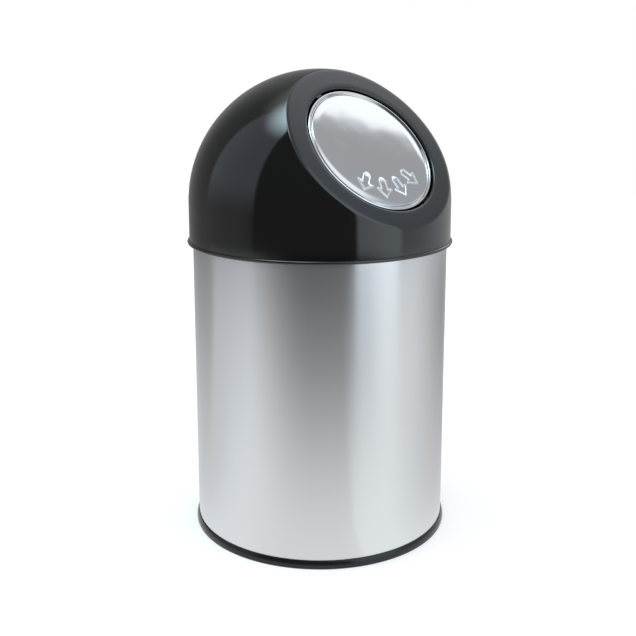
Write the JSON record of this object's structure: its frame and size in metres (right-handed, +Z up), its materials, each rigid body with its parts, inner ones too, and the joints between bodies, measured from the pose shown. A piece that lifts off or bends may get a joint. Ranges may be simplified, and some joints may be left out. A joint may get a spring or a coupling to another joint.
{
  "type": "dome top waste receptacle",
  "caption": "Round waste receptacle with a brushed steel body, black foot ring, lift-off gloss black dome, sprung round push flap and a removable galvanised liner with a bail handle.",
  "frame": {"origin": "centre of the foot ring's underside, on the floor", "axes": "+Z up along the body's axis; the flap faces -Y; +X to the right seen from behind the object"},
  "size_m": [0.3656, 0.3656, 0.634],
  "materials": {
    "body_steel": "satin brushed stainless steel",
    "dome_paint": "gloss black",
    "ring_plastic": "semi-gloss black",
    "collar_plastic": "satin black",
    "flap_polish": "mirror-polished stainless steel",
    "galvanised": "galvanised steel with a fine spangle",
    "hardware_steel": "zinc-plated steel",
    "spring_steel": "drawn spring wire",
    "stop_rubber": "matt black rubber"
  },
  "bodies": {
    "bin_body": {"body_shell": "body_steel", "base_ring": "ring_plastic", "base_pan": "galvanised"},
    "lid": {"dome_shell": "dome_paint", "lid_collar": "collar_plastic", "hinge_pin": "hardware_steel", "hinge_bracket_left": "hardware_steel", "hinge_bracket_right": "hardware_steel", "pin_clip_left": "hardware_steel", "pin_clip_right": "hardware_steel", "torsion_spring_left": "spring_steel", "torsion_spring_right": "spring_steel"},
    "flap": {"flap_panel": "flap_polish", "flap_hinge_leaf": "hardware_steel", "flap_stop_left": "stop_rubber", "flap_stop_right": "stop_rubber"},
    "liner": {"liner_wall": "galvanised", "liner_base": "galvanised", "bail_ear_left": "galvanised", "bail_ear_right": "galvanised", "ear_rivet_1": "galvanised", "ear_rivet_2": "galvanised", "ear_rivet_3": "galvanised", "ear_rivet_4": "galvanised"},
    "bail": {"bail_handle": "hardware_steel"}
  },
  "joints": [
    {"name": "lid_lift", "type": "slide", "parent": "bin_body", "child": "lid", "axis": [0, 0, 1], "range_m": [0, 0.65]},
    {"name": "liner_lift", "type": "slide", "parent": "bin_body", "child": "liner", "axis": [0, 0, 1], "range_m": [0, 0.42]},
    {"name": "flap_swing", "type": "hinge", "parent": "lid", "child": "flap", "pos_m": [0, -0.025, 0.60809], "axis": [1, 0, 0], "range_deg": [0, 70], "stiffness_Nm_per_rad": 0.3, "springref_deg": -68.75, "deforming": ["torsion_spring_left", "torsion_spring_right"]},
    {"name": "bail_swing", "type": "hinge", "parent": "liner", "child": "bail", "pos_m": [0, 0, 0.3778], "axis": [-1, 0, 0], "range_deg": [0, 182]}
  ],
  "couplings": [
    {"joint": "liner_lift", "follows": "lid_lift", "ratio": 0.646}
  ]
}
